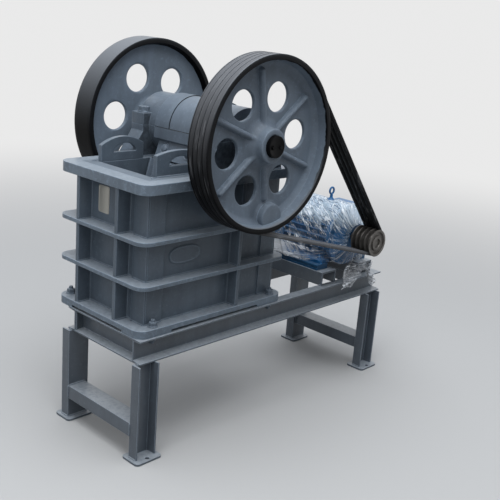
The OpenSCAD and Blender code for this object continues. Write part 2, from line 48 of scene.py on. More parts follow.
view_dir = Vector((
    np.sin(VIEW_AZIMUTH) * np.cos(VIEW_DOWN),
    np.cos(VIEW_AZIMUTH) * np.cos(VIEW_DOWN),
    -np.sin(VIEW_DOWN),
))
level_right = view_dir.cross(Vector((0, 0, 1))).normalized()
level_up = level_right.cross(view_dir)
view_right = np.cos(VIEW_ROLL) * level_right + np.sin(VIEW_ROLL) * level_up
view_up = np.cos(VIEW_ROLL) * level_up - np.sin(VIEW_ROLL) * level_right
lens = bpy.data.cameras.new("view")
lens.sensor_width = 36
lens.lens = VIEW_FOCAL_PX / VIEW_WIDE_PX * lens.sensor_width
camera = bpy.data.objects.new("view", lens)
bpy.context.scene.collection.objects.link(camera)
turn = Matrix((view_right, view_up, -view_dir)).transposed().to_4x4()
camera.matrix_world = Matrix.Translation(VIEW_FROM) @ turn
bpy.context.scene.camera = camera
bpy.context.scene.view_settings.view_transform = "Standard"

# Studio
# A plain pale floor under an open sky that is bright above and dim near the horizon, with a
# large soft overhead lamp and weak fill lamps.
FLOOR_SEEN, FLOOR_BOUNCE = (0.44, 0.437, 0.43, 1), (0.2, 0.199, 0.196, 1)
BACKDROP, SKY_COLOUR = (0.82, 0.82, 0.82, 1), (0.86, 0.9, 0.96, 1)
FLOOR_HALF = 30


def add_node(tree, kind, inputs=None, **settings):
    """Adds one shader node; inputs are values or the sockets to link from."""
    node = tree.nodes.new(kind)
    for key, value in settings.items():
        setattr(node, key, value)
    for key, value in (inputs or {}).items():
        socket = node.inputs[key]
        if isinstance(value, bpy.types.NodeSocket):
            tree.links.new(value, socket)
        else:
            socket.default_value = value
    return node


def make_material(name):
    """An empty node material, its node tree and the socket of the place on the object."""
    material = bpy.data.materials.new(name)
    material.use_nodes = True
    tree = material.node_tree
    tree.nodes.clear()
    return material, tree, add_node(tree, "ShaderNodeTexCoord").outputs["Object"]


def noise(tree, place, scale, detail, rough=0.5, **more):
    """Noise from 0 to 1; more holds other inputs of its node."""
    inputs = {"Vector": place, "Scale": scale, "Detail": detail, "Roughness": rough, **more}
    return add_node(tree, "ShaderNodeTexNoise", inputs).outputs["Fac"]


def remap(tree, value, low, high, first=0.0, last=1.0, kind="LINEAR"):
    """Takes low to high over to first to last and holds both ends."""
    inputs = {"Value": value, "From Min": low, "From Max": high, "To Min": first, "To Max": last}
    return add_node(tree, "ShaderNodeMapRange", inputs, interpolation_type=kind).outputs[0]


def reckon(tree, operation, *values):
    """One step of arithmetic on one, two or three values."""
    inputs = dict(enumerate(values))
    return add_node(tree, "ShaderNodeMath", inputs, operation=operation).outputs[0]


def vector_step(tree, operation, *values):
    """One step of arithmetic on vectors; gives the node's outputs."""
    inputs = dict(enumerate(values))
    return add_node(tree, "ShaderNodeVectorMath", inputs, operation=operation).outputs


def axes_of(tree, vector):
    """The x, y and z of a vector."""
    return add_node(tree, "ShaderNodeSeparateXYZ", {0: vector}).outputs


def drawn_out(tree, place, **inputs):
    """Places moved, turned or scaled, to draw a pattern out along one direction."""
    return add_node(tree, "ShaderNodeMapping", {"Vector": place, **inputs}).outputs[0]


def blend(tree, amount, first, second):
    """The first colour where amount is 0 and the second where it is 1."""
    inputs = {0: amount, 6: first, 7: second}
    return add_node(tree, "ShaderNodeMix", inputs, data_type="RGBA").outputs[2]


def bumps(tree, height, strength, distance, **more):
    """A normal bent by a height; more may hold the Normal it starts from."""
    inputs = {"Height": height, "Strength": strength, "Distance": distance, **more}
    return add_node(tree, "ShaderNodeBump", inputs).outputs[0]


def surface(tree, colour, rough, metal=0.0, specular=0.5, **more):
    """Ends a material with its shader and output; more holds other inputs of the shader."""
    shader = add_node(tree, "ShaderNodeBsdfPrincipled", {
        "Base Color": colour, "Roughness": rough, "Metallic": metal,
        "Specular IOR Level": specular, **more})
    add_node(tree, "ShaderNodeOutputMaterial", {"Surface": shader.outputs[0]})


def mesh_object(name, points, faces, smooth=True):
    """An object at the origin from arrays of points (n, 3) and faces (m, 3 or 4)."""
    mesh = bpy.data.meshes.new(name)
    mesh.from_pydata(np.asarray(points, float).tolist(), [], np.asarray(faces, int).tolist())
    mesh.validate()
    mesh.shade_smooth() if smooth else mesh.shade_flat()
    obj = bpy.data.objects.new(name, mesh)
    bpy.context.scene.collection.objects.link(obj)
    return obj


def sees_backdrop(tree):
    """1 for camera, glossy and transmission rays, which see the plain backdrop; else 0."""
    rays = add_node(tree, "ShaderNodeLightPath").outputs
    either = reckon(tree, "MAXIMUM", rays["Is Camera Ray"], rays["Is Glossy Ray"])
    return reckon(tree, "MAXIMUM", either, rays["Is Transmission Ray"])


floor_material, tree, place = make_material("pale_floor")
seen = sees_backdrop(tree)
tint = blend(tree, seen, FLOOR_BOUNCE, FLOOR_SEEN)
plain = add_node(tree, "ShaderNodeBsdfPrincipled", {"Base Color": tint, "Roughness": 0.9})
far_off = add_node(tree, "ShaderNodeEmission", {"Color": BACKDROP, "Strength": 1.0})
reach = vector_step(tree, "LENGTH", place)["Value"]
fade = remap(tree, reach, 1.6, 7.0, kind="SMOOTHSTEP")
shader = add_node(tree, "ShaderNodeMixShader", {
    0: reckon(tree, "MULTIPLY", fade, seen), 1: plain.outputs[0], 2: far_off.outputs[0]})
add_node(tree, "ShaderNodeOutputMaterial", {"Surface": shader.outputs[0]})
corners = [(x * FLOOR_HALF, y * FLOOR_HALF, 0) for x, y in ((-1, -1), (1, -1), (1, 1), (-1, 1))]
floor = mesh_object("floor", corners, [(0, 1, 2, 3)], smooth=False)
floor.data.materials.append(floor_material)

world = bpy.data.worlds.new("studio")
bpy.context.scene.world = world
world.use_nodes = True
tree = world.node_tree
tree.nodes.clear()
backdrop = add_node(tree, "ShaderNodeBackground", {"Color": BACKDROP, "Strength": 1.0})
height = axes_of(tree, add_node(tree, "ShaderNodeTexCoord").outputs["Generated"])[2]
open_sky = remap(tree, height, 0.22, 0.95, 0.05, 1.5, kind="SMOOTHSTEP")
fill = add_node(tree, "ShaderNodeBackground", {"Color": SKY_COLOUR, "Strength": open_sky})
choose = add_node(tree, "ShaderNodeMixShader", {
    0: sees_backdrop(tree), 1: fill.outputs[0], 2: backdrop.outputs[0]})
add_node(tree, "ShaderNodeOutputWorld", {"Surface": choose.outputs[0]})


def add_lamp(name, place, aim, size, power, colour=(1, 1, 1)):
    """A square area lamp at a place, turned towards aim."""
    light = bpy.data.lights.new(name, "AREA")
    light.size = size
    light.energy = power
    light.color = colour
    lamp = bpy.data.objects.new(name, light)
    bpy.context.scene.collection.objects.link(lamp)
    away = Vector(aim) - Vector(place)
    aimed = away.to_track_quat("-Z", "Y").to_matrix().to_4x4()
    lamp.matrix_world = Matrix.Translation(place) @ aimed


add_lamp("sky_lamp", (-0.9, -0.7, 4.4), (-0.1, 0, 0.8), 3.2, 125, (0.94, 0.97, 1.0))
add_lamp("front_lamp", (-4.6, -1.4, 2.4), (0, 0, 0.8), 2.6, 34, (0.96, 0.98, 1.0))
add_lamp("side_lamp", (1.6, -4.6, 2.2), (0.2, 0, 0.7), 2.6, 3)

# Machine paint
# Blue-grey machine enamel sprayed over steel: slightly uneven, scuffed, streaked down the
# walls, dusty where it lies flat and worn along the edges; castings keep their grain. Faces
# that lie flat are also paled by painted top light, and every edge carries a painted highlight.
# Pale bluish colour of dusty upward faces, which also stands for painted top light.
DUST_AND_TOP_LIGHT_COLOUR = (0.37, 0.4, 0.43, 1)


def times(colour, factor):
    """A colour made darker or brighter by a factor, up to 1."""
    return tuple(min(1, factor * c) for c in colour[:3]) + (1,)


def machine_paint(name, colour, grain=0.0, dust_and_top_light=0.25, gloss=0.36, specular=0.3,
                  edge_r=0.003, edge_wear_and_highlight_tone=2.1, wear=0.4, overlay=None):
    """Enamel: cloudy colour, streaks down the walls, scuffs by wear, dusty upward faces that are
    also paled by painted top light, casting grain, and edges rounded by edge_r whose paint is
    lightened to the edge tone times the colour, for wear and a painted edge highlight.
    overlay(tree, place) may return a mask and the colour that lies over it."""
    material, tree, place = make_material(name)
    normal = add_node(tree, "ShaderNodeNewGeometry").outputs["Normal"]
    cloud = noise(tree, place, 4.0, 7.0, 0.62)
    fleck = noise(tree, place, 60.0, 4.0, 0.7)
    streak = noise(tree, drawn_out(tree, place, Scale=(26, 26, 1.6)), 1.0, 5.0, 0.6)
    tone = remap(tree, reckon(tree, "MULTIPLY_ADD", streak, 0.45, cloud), 0.5, 0.95)
    paint = blend(tree, tone, times(colour, 0.8), times(colour, 1.2))
    scuffed = remap(tree, fleck, 0.6 - 0.12 * wear, 0.72, last=wear)
    paint = blend(tree, scuffed, paint, times(colour, 1.7))
    edge = add_node(tree, "ShaderNodeBevel", {"Radius": edge_r}, samples=6).outputs[0]
    turned_off = vector_step(tree, "DOT_PRODUCT", edge, normal)["Value"]
    # Edges lightened where the bevel turns off the face: wear, and a painted highlight.
    worn_and_highlit = remap(tree, turned_off, 0.995, 0.87, last=0.7)
    if overlay:
        mask, over_colour = overlay(tree, place)
        specular = remap(tree, mask, 0, 1, specular, 0.06)
        paint = blend(tree, mask, paint, over_colour)
        worn_and_highlit = remap(tree, mask, 0, 1, worn_and_highlit, 0.0)
    paint = blend(tree, worn_and_highlit, paint, times(colour, edge_wear_and_highlight_tone))
    # Upward faces paled towards that colour: dusty, and painted top light from the sky.
    flat = remap(tree, axes_of(tree, normal)[2], 0.6, 1.0, last=dust_and_top_light)
    patch = remap(tree, fleck, 0.2, 0.55, first=0.35)
    paint = blend(tree, reckon(tree, "MULTIPLY", flat, patch), paint, DUST_AND_TOP_LIGHT_COLOUR)
    bump = bumps(tree, fleck, 0.12, 0.0008, Normal=edge)
    if grain:
        bump = bumps(tree, noise(tree, place, 18.0, 2.0), grain, 0.004, Normal=bump)
        bump = bumps(tree, noise(tree, place, 130.0, 3.0, 0.55), grain, 0.0012, Normal=bump)
    rough = remap(tree, fleck, 0, 1, gloss - 0.06, gloss + 0.1)
    surface(tree, paint, rough, specular=specular, Normal=bump)
    return material


def dust_and_sky_sheen_up(tree, black, grey, low=-0.15):
    """A black that pales towards grey the more its face turns up: dusty, and with a painted sheen
    of the sky.
    """
    up = axes_of(tree, add_node(tree, "ShaderNodeNewGeometry").outputs["Normal"])[2]
    return blend(tree, remap(tree, up, low, 1.0, kind="SMOOTHSTEP"), black, grey)


def finish_nodes(material, *names):
    """Gives CAD nodes a material in every slot."""
    for name in names:
        mesh = nodes[name].data
        mesh.materials.clear()
        mesh.materials.append(material)


STAND_COLOUR = (0.096, 0.115, 0.138, 1)
BODY_COLOUR = (0.098, 0.124, 0.154, 1)
CASTING_COLOUR = (0.12, 0.15, 0.187, 1)
stand_paint = machine_paint("stand_paint", STAND_COLOUR, grain=0.07, dust_and_top_light=0.65, gloss=0.3,
                            specular=0.5, edge_wear_and_highlight_tone=4.5)
body_paint = machine_paint("body_paint", BODY_COLOUR, grain=0.08, edge_r=0.0055)
casting_paint = machine_paint("casting_paint", CASTING_COLOUR, grain=0.3, dust_and_top_light=0.15)

# Stand
# Rolled channel cut and arc welded into a frame on four legs with foot plates; the welds
# are painted over with the rest.
STAND_NODES = ("long_beam", "end_beam", "leg_", "brace_", "motor_beam")
finish_nodes(stand_paint, *[name for name in nodes if name.startswith(STAND_NODES)])


def grid_faces(rows, cols, close_rows=False, close_cols=False):
    """Quads of a grid of rows x cols points, numbered row by row; either way may close."""
    r = np.arange(rows if close_rows else rows - 1)[:, None]
    c = np.arange(cols if close_cols else cols - 1)[None, :]
    r2, c2 = (r + 1) % rows, (c + 1) % cols
    quads = [r * cols + c, r * cols + c2, r2 * cols + c2, r2 * cols + c]
    return np.stack(quads, axis=-1).reshape(-1, 4)


def across(axis):
    """Two unit directions square to an axis and to each other."""
    axis = np.asarray(axis, float) / np.linalg.norm(axis)
    side = np.cross(axis, (0, 0, 1) if abs(axis[2]) < 0.9 else (1, 0, 0))
    side /= np.linalg.norm(side)
    return axis, side, np.cross(axis, side)


def shell_object(name, parts, material, body, sharp=40):
    """One object from closed shells of points and faces: doubles merged, faces turned out,
    smooth but for edges sharper than the given angle."""
    points = np.concatenate([np.asarray(p, float) for p, _ in parts])
    starts = np.cumsum([0] + [len(p) for p, _ in parts])
    faces = [face for (_, own), start in zip(parts, starts)
             for face in (np.asarray(own) + start).tolist()]
    mesh = bpy.data.meshes.new(name)
    mesh.from_pydata(points.tolist(), [], faces)
    shell = bmesh.new()
    shell.from_mesh(mesh)
    bmesh.ops.remove_doubles(shell, verts=shell.verts, dist=2e-5)
    bmesh.ops.recalc_face_normals(shell, faces=shell.faces)
    shell.to_mesh(mesh)
    shell.free()
    mesh.shade_smooth()
    mesh.set_sharp_from_angle(angle=np.radians(sharp))
    mesh.materials.append(material)
    obj = bpy.data.objects.new(name, mesh)
    bpy.context.scene.collection.objects.link(obj)
    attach(obj, body)
    return obj


def weld_run(start, end, radius=0.0045, ripple=0.007):
    """A bead from start to end: a ring of eight points whose radius at length s is
    radius * (1 + 0.13 sin(2 pi s / ripple)), with its ends drawn in to a point."""
    start, end = np.asarray(start, float), np.asarray(end, float)
    long = np.linalg.norm(end - start)
    axis, side, other = across(end - start)
    s = np.linspace(0, long, max(8, int(long / ripple * 3)))
    ends = np.minimum(1, np.sqrt(np.minimum(s, long - s) / radius))
    swell = radius * (1 + 0.13 * np.sin(2 * np.pi * s / ripple)) * ends
    turn = np.arange(8) * np.pi / 4
    ring = np.cos(turn)[:, None] * side + np.sin(turn)[:, None] * other
    points = start + s[:, None, None] * axis + swell[:, None, None] * ring
    return points.reshape(-1, 3), grid_faces(len(s), 8, close_cols=True)


def weld_runs(*ends):
    """One bead for each pair of ends."""
    return [weld_run(start, end) for start, end in ends]


FOOT_TOP, BEAM_LOW, BEAM_TOP = 0.010, 0.412, 0.512
seams = []
for leg_x in (-0.7945, 0.6935):
    for web, lip in ((-0.262, -0.31), (0.162, 0.21)):
        seams += weld_runs(((leg_x, web, FOOT_TOP), (leg_x + 0.1, web, FOOT_TOP)))
        seams += weld_runs(*[((x, web, FOOT_TOP), (x, lip, FOOT_TOP))
                             for x in (leg_x, leg_x + 0.1)])
        half_way = web + (lip - web) / 2
        seams += weld_runs(*[((x, web, BEAM_LOW), (x, half_way, BEAM_LOW))
                             for x in (leg_x + 0.016, leg_x + 0.1)])
for low_x, high_x in ((-0.7945, -0.7095), (0.7085, 0.7935)):
    for y in (-0.262, 0.162):
        corners = [(low_x, y, 0.1), (high_x, y, 0.1), (high_x, y, 0.158), (low_x, y, 0.158)]
        seams += weld_runs(*zip(corners, corners[1:] + corners[:1]))
for beam_x in ((0.3565, 0.4645), (0.6485, 0.7565)):
    for y, out in ((-0.242, -0.018), (0.142, 0.018)):
        seams += weld_runs(*[((x, y, BEAM_TOP), (x, y + out, BEAM_TOP)) for x in beam_x])
for y in (-0.242, 0.142):
    seams += weld_runs(*[((x, y, BEAM_LOW), (x, y, BEAM_TOP)) for x in (-0.7715, 0.8025)])
shell_object("stand_welds", seams, stand_paint, "frame")

# Crusher body
# Welded box of thick plate with cast-on flange rings; its rings and fins are welded on all
# round and it is bolted through its corner pads to the channels.
finish_nodes(body_paint, "front_wall", "rear_wall", "side_wall_near", "side_wall_far")
# The rings' paint is a lighter copy of the walls' paint: painted light, for the light the rings
# catch standing out from the recessed walls.
lit_ring_paint = machine_paint("lit_ring_paint", (0.135, 0.17, 0.21, 1), grain=0.35, dust_and_top_light=0.5,
                           edge_r=0.005, edge_wear_and_highlight_tone=2.9, wear=0.75)
finish_nodes(lit_ring_paint, "base_flange", "rib_lower", "rib_upper", "top_flange")
WALL_X, WALL_Y, STRIP_THICK, STRIP_WIDE = (-0.7095, 0.0125), (-0.22, 0.22), 0.008, 0.082
FIN_X, FIN_Y = (-0.2545, -0.2375), (-0.1155, -0.0985, 0.1365, 0.1535)
LEVELS = (0.545, 0.709, 0.725, 0.886, 0.902, 1.083)
seams = []
for z in LEVELS:
    for x, out in ((WALL_X[0], -STRIP_THICK), (WALL_X[1], STRIP_THICK)):
        seams += weld_runs(((x, WALL_Y[0] + STRIP_WIDE, z), (x, WALL_Y[1] - STRIP_WIDE, z)))
        seams += weld_runs(*[((x + out, a * 0.228, z), (x + out, a * 0.146, z)) for a in (-1, 1)])
    for y, out in ((WALL_Y[0], -STRIP_THICK), (WALL_Y[1], STRIP_THICK)):
        seams += weld_runs(((WALL_X[0] + STRIP_WIDE, y, z), (WALL_X[1] - STRIP_WIDE, y, z)))
        seams += weld_runs(*[((a, y + out, z), (b, y + out, z))
                             for a, b in ((-0.7175, -0.6275), (-0.0695, 0.0205))])
for low, high in zip(LEVELS[::2], LEVELS[1::2]):
    for y in FIN_Y:
        foot = (WALL_X[0], y, low)
        seams += weld_runs((foot, (WALL_X[0], y, high)), ((-0.7745, y, low), foot))
    for x in FIN_X:
        for side in (-1, 1):
            foot = (x, side * 0.22, low)
            seams += weld_runs((foot, (x, side * 0.22, high)), ((x, side * 0.274, low), foot))
shell_object("body_welds", seams, body_paint, "frame")


def turned(profile, place, axis, steps=48, flats=0):
    """A shell turned from (radius, along) rows about an axis through place. With flats > 0 a
    row's radius grows with the angle a as apothem / cos(a mod 2 pi/n - pi/n), which gives a
    prism of n flats; its first and last rows stay round."""
    axis, side, other = across(axis)
    profile = np.asarray(profile, float)
    a = np.arange(steps) * 2 * np.pi / steps
    radius = np.repeat(profile[:, :1], steps, axis=1)
    if flats:
        prism = 1 / np.cos(np.mod(a, 2 * np.pi / flats) - np.pi / flats)
        radius[2:-2] = radius[2:-2] * prism
    ring = np.cos(a)[:, None] * side + np.sin(a)[:, None] * other
    points = np.asarray(place, float) + profile[:, 1, None, None] * axis + radius[:, :, None] * ring
    return points.reshape(-1, 3), grid_faces(len(profile), steps, close_cols=True)


def hex_bolt(place, axis, flats_across, head, washer=0.0, stud=0.0):
    """A hex head or nut with a chamfered top on an optional washer, and its thread end."""
    r, parts = flats_across / 2, []
    if washer:
        thick = flats_across * 0.12
        parts.append(turned([(0, 0), (washer - 0.001, 0), (washer, 0.001), (washer, thick - 0.001),
                             (washer - 0.001, thick), (0, thick)], place, axis, 36))
        place = np.asarray(place, float) + thick * across(axis)[0]
    rise = 0.1 * flats_across
    parts.append(turned([(0, 0), (r * 0.9, 0), (r, 0), (r, rise), (r, head - rise),
                         (r * 0.97, head), (r * 0.9, head), (0, head)], place, axis, 36, flats=6))
    if stud:
        t, pitch = r * 0.62, 0.002
        turns = np.arange(max(2, int(stud / pitch)))
        thread = [(t if k % 2 else t * 0.9, head + k * pitch) for k in turns]
        parts.append(turned([(0, 0), (t, 0), (t, head), *thread[1:], (t * 0.85, head + stud),
                             (0, head + stud)], place, axis, 20))
    return parts


bolts = []
for x, y, under in ((-0.69, -0.252, 0.5035), (-0.012, -0.252, 0.5035),
                    (-0.73, 0.246, 0.512), (-0.012, 0.252, 0.512)):
    bolts += hex_bolt((x, y, 0.545), (0, 0, 1), 0.03, 0.016, washer=0.021, stud=0.011)
    bolts += hex_bolt((x, y, under), (0, 0, -1), 0.027, 0.014, washer=0.018, stud=0.012)
shell_object("body_bolts", bolts, body_paint, "frame")

# Plain oval pad and blank plate
# Raised oval pad cast on the side of the body, bare, and a blank sheet-metal plate held by
# four drive rivets on the front.


def swept_plate(outline, out, place, rows):
    """A crowned plate: outline (n, 2) is drawn in by each row's inset and raised by its height
    along out, then closed towards its middle."""
    out, up = np.asarray(out, float), np.array((0, 0, 1.0))
    along = np.cross(up, out)
    centre = outline.mean(axis=0)
    half = np.abs(outline - centre).max(axis=0)
    shells = []
    for inset, height in rows:
        flat = centre + (outline - centre) * (1 - inset / half)
        shells.append(np.asarray(place) + flat[:, :1] * along + flat[:, 1:] * up + height * out)
    shells.append(np.repeat((np.asarray(place) + rows[-1][1] * out)[None], len(outline), axis=0))
    return np.concatenate(shells), grid_faces(len(shells), len(outline), close_cols=True)


def rounded_outline(wide, high, power, steps=96):
    """Superellipse (|x/a|^p + |y/b|^p = 1): 2 gives an oval, 10 a plate with round corners."""
    a = np.arange(steps) * 2 * np.pi / steps
    sizes = zip((wide / 2, high / 2), (np.cos(a), np.sin(a)))
    return np.stack([half * np.sign(c) * np.abs(c) ** (2 / power) for half, c in sizes], axis=1)


pad = swept_plate(rounded_outline(0.166, 0.075, 2.6), (0, -1, 0), (-0.512, -0.219, 0.808),
                  [(0, 0), (0, 0.004), (0.0015, 0.006), (0.006, 0.006), (0.0075, 0.0045),
                   (0.009, 0.0045), (0.02, 0.0045)])
shell_object("oval_pad", [pad], body_paint, "frame")

plate_metal, tree, place = make_material("plate_metal")
brushed = noise(tree, drawn_out(tree, place, Scale=(30, 30, 900)), 1.0, 3.0)
surface(tree, (0.44, 0.43, 0.39, 1), remap(tree, brushed, 0, 1, 0.3, 0.5), metal=0.7)
PLATE_X, PLATE_Y, PLATE_Z = -0.7097, 0.058, 0.9955
blank = swept_plate(rounded_outline(0.07, 0.112, 14), (-1, 0, 0), (PLATE_X, PLATE_Y, PLATE_Z),
                    [(0, 0), (0, 0.001), (0.0005, 0.0015), (0.004, 0.0015), (0.0045, 0.0012),
                     (0.006, 0.0012), (0.012, 0.0012)])
rivets = [turned([(0, 0), (0.003, 0), (0.0028, 0.0012), (0.0015, 0.002), (0, 0.0022)],
                 (PLATE_X - 0.0012, PLATE_Y + side * 0.029, PLATE_Z + up * 0.049), (-1, 0, 0), 20)
          for side in (-1, 1) for up in (-1, 1)]
shell_object("blank_plate", [blank] + rivets, plate_metal, "frame")

# Feed mouth
# Side guards of flame-cut plate welded on the liners, and ribbed cast jaw plates, all
# sprayed with the body.
finish_nodes(body_paint, "liner_near", "liner_far", "guard_near", "guard_far")
finish_nodes(casting_paint, "fixed_jaw_plate", "swing_jaw_plate")
MOUTH_TOP = 1.124


def jaw_seam_shade(tree, place):
    """Painted shade: dark lines where the ring ends on the jaw's barrel and where the slab meets
    it, for the shade in those joints.
    """
    at, seams = axes_of(tree, place), []
    for along, middle, beside, side, limit in (
            (1, 0.0514, 2, "GREATER_THAN", 1.262), (2, 1.2625, 0, "LESS_THAN", -0.385)):
        off = reckon(tree, "ABSOLUTE", reckon(tree, "SUBTRACT", at[along], middle))
        line = remap(tree, off, 0.0008, 0.0018, 1.0, 0.0)
        seams.append(reckon(tree, "MULTIPLY", line, reckon(tree, side, at[beside], limit)))
    return reckon(tree, "MAXIMUM", *seams), (0.008, 0.009, 0.01, 1)


# The jaw's paint carries the painted shade in the joints of its barrel and slab.
jaw_paint = machine_paint("jaw_paint", CASTING_COLOUR, grain=0.3, dust_and_top_light=0.15, overlay=jaw_seam_shade)
finish_nodes(jaw_paint, "swing_jaw")
seams = []
for low_x, high_x, y, radius in ((-0.645, -0.415, -0.18, 0.005), (-0.653, -0.435, 0.18, 0.005),
                                 (-0.6545, -0.6795, -0.19, 0.004), (-0.6545, -0.6795, 0.19, 0.004)):
    seams.append(weld_run((low_x, y, MOUTH_TOP), (high_x, y, MOUTH_TOP), radius))
shell_object("guard_welds", seams, body_paint, "frame")

# Bolts of the swing jaw plate
# Two round heads in shallow seats on the jaw's brow draw the jaw plate up against it.
brow_out = np.array((-0.9475, 0, 0.3198))
SEAT = [(0, -0.004), (0.026, -0.004), (0.026, 0.0022), (0.0245, 0.0034), (0.0225, 0.0008),
        (0, 0.0008)]
HEAD = [(0, 0), (0.0165, 0), (0.0165, 0.007), (0.0148, 0.0092), (0.008, 0.0108), (0, 0.0112)]
heads = [turned(profile, (-0.3888, y, 1.178), brow_out, 40)
         for y in (-0.072, 0.072) for profile in (SEAT, HEAD)]
shell_object("brow_bolts", heads, casting_paint, "jaw")

# Bearings
# Cast pedestals and caps with rough sides, darker in patches on the sides towards the belts,
# held down by studs with large nuts.
AXLE = np.array((-0.2525, 1.26))
BLOCK_TOP = 1.31


def darker_patches_wheel_side(tree, place):
    """Patchy darkening on the sides that face -Y, from z = 1.34 downwards."""
    normal = add_node(tree, "ShaderNodeNewGeometry").outputs["Normal"]
    facing = remap(tree, axes_of(tree, normal)[1], -0.4, -0.9)
    low = remap(tree, axes_of(tree, place)[2], 1.34, 1.3)
    spots = remap(tree, noise(tree, place, 45.0, 4.0), 0.36, 0.6, 0.3, 0.75)
    mask = reckon(tree, "MULTIPLY", facing, low)
    return reckon(tree, "MULTIPLY", mask, spots), (0.04, 0.047, 0.056, 1)


pedestal_paint = machine_paint("pedestal_paint", (0.11, 0.137, 0.17, 1), grain=0.85, dust_and_top_light=0.15,
                               specular=0.35, edge_r=0.005, overlay=darker_patches_wheel_side)
finish_nodes(pedestal_paint, "bearing_seat_near", "bearing_seat_far",
             "bearing_cap_near", "bearing_cap_far")
nuts, seams = [], []
for side in (-1, 1):
    for x in (-0.1305, 0.1305):
        foot = (AXLE[0] + x, side * 0.229, BLOCK_TOP)
        nuts += hex_bolt(foot, (0, 0, 1), 0.044, 0.019, washer=0.0255)
    corners = [(x, side * y, MOUTH_TOP) for x, y in (
        (-0.4835, 0.19), (-0.0215, 0.19), (-0.4835, 0.268), (-0.0215, 0.268))]
    for start, end in ((0, 1), (2, 3), (0, 2), (1, 3)):
        seams.append(weld_run(corners[start], corners[end], radius=0.005))
shell_object("bearing_nuts", nuts, casting_paint, "frame")
shell_object("bearing_welds", seams, casting_paint, "frame")

# Shaft
# Forged crankshaft, left dark and oily, with black end caps that keep the flywheels on,
# each held by two small bolts.
shaft_black, tree, place = make_material("shaft_black")
smear = noise(tree, place, 40.0, 5.0)
tone = blend(tree, smear, (0.001, 0.001, 0.0012, 1), (0.004, 0.004, 0.0045, 1))
edge = add_node(tree, "ShaderNodeBevel", {"Radius": 0.001}, samples=4).outputs[0]
surface(tree, tone, remap(tree, smear, 0, 1, 0.3, 0.6), specular=0.08,
        Normal=bumps(tree, smear, 0.2, 0.0006, Normal=edge))
half = [(0, 0.4375), (0.036, 0.4375), (0.0375, 0.4385), (0.0428, 0.4385), (0.0442, 0.437),
        (0.0442, 0.4215), (0.0444, 0.4205), (0.045, 0.4205), (0.045, 0.2725), (0.0495, 0.272),
        (0.05, 0.2715), (0.05, 0.147), (0.0595, 0.146), (0.06, 0.1455)]
profile = [(r, -y) for r, y in half] + half[::-1]
parts = [turned(profile, (AXLE[0], 0, AXLE[1]), (0, 1, 0), 96)]
for side in (-1, 1):
    for off in (-0.021, 0.021):
        parts += hex_bolt((AXLE[0] + off, side * 0.4374, 1.258), (0, side, 0), 0.015, 0.005)
shaft = shell_object("shaft", parts, shaft_black, "rotor")
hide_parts("crankshaft")

# Flywheels
# Grey iron castings: a dished web with six round ribs and six round windows runs out from a
# conical hub into the rim. The rims are brushed black all over; the near one is grooved for
# the belts, the far one plain.
HOLE_PITCH, HOLE_R, WEB_IN, WEB_THICK = 198.0, 60.5, 61.0, 18.0
FIELD_IN, FIELD_OUT, WHEEL_R, WHEEL_WIDE = 72.0, 322.0, 357.5, 110.5
WHEEL_FACE = 0.4175
GROOVES = [WHEEL_WIDE / 2 + (k - 1.5) * 25.5 for k in range(4)]
BOSS_TURN, BOSS_AT = -147.5, 310.0


def ease(low, high, value):
    """Smooth step: 0 below low, 1 above high and 3t^2 - 2t^3 between."""
    t = np.clip((value - low) / (high - low), 0, 1)
    return t * t * (3 - 2 * t)


def turned_by(x, z, angle):
    """The coordinates of (x, z) turned by an angle about the axle."""
    return x * np.cos(angle) - z * np.sin(angle), x * np.sin(angle) + z * np.cos(angle)


def to_window(x, z, phase):
    """Distance of (x, z) to the edge of the nearest window, in mm."""
    gaps = []
    for k in range(6):
        a = np.radians(phase + 60 * k)
        gaps.append(np.hypot(x - HOLE_PITCH * np.cos(a), z - HOLE_PITCH * np.sin(a)) - HOLE_R)
    return np.min(gaps, axis=0)


def web_front(x, z, phase):
    """Depth of the web's outer face at (x, z) from the axle, in mm: the web's depth less the
    cubic mean of four reliefs - hub cone 34(1-u)^2, rim fillet 16u^2, half-round ribs with
    round ends (the one above the boss is short) and the boss's own fillet - plus a rounded
    edge at each window."""
    r = np.hypot(x, z)
    hub = 34 * (1 - np.clip((r - 71) / 44, 0, 1)) ** 2
    rim = 16 * np.clip((r - 298) / 30.5, 0, 1) ** 2
    rib = np.zeros_like(r)
    for k, end in enumerate((293, 293, 293, 228, 293, 293)):
        s, p = turned_by(x, z, -np.radians(phase + 30 + 60 * k))
        far = np.hypot(np.maximum(0, 72 - s) + np.maximum(0, s - end), p)
        rib = np.maximum(rib, 21 * np.sqrt(np.clip(1 - (far / 13.0) ** 2, 0, 1)))
    a = np.radians(phase + BOSS_TURN)
    off_boss = np.hypot(x - BOSS_AT * np.cos(a), z - BOSS_AT * np.sin(a))
    foot = 8 * (1 - ease(56, 74, off_boss))
    relief = (hub ** 3 + rim ** 3 + rib ** 3 + foot ** 3) ** (1 / 3)
    lip = 6 - np.sqrt(36 - (6 - np.clip(to_window(x, z, phase), 0, 6)) ** 2)
    return WEB_IN - relief + lip


def web_back(x, z, phase):
    """Depth of the web's inner face: flat, with fillets to the hub and the rim and a rounded
    edge at each window."""
    r = np.hypot(x, z)
    hub = 26 * (1 - np.clip((r - 71) / 34, 0, 1)) ** 2
    rim = 8 * np.clip((r - 300) / 28, 0, 1) ** 2
    lip = 4 - np.sqrt(16 - (4 - np.clip(to_window(x, z, phase), 0, 4)) ** 2)
    return WEB_IN + WEB_THICK + hub + rim - lip


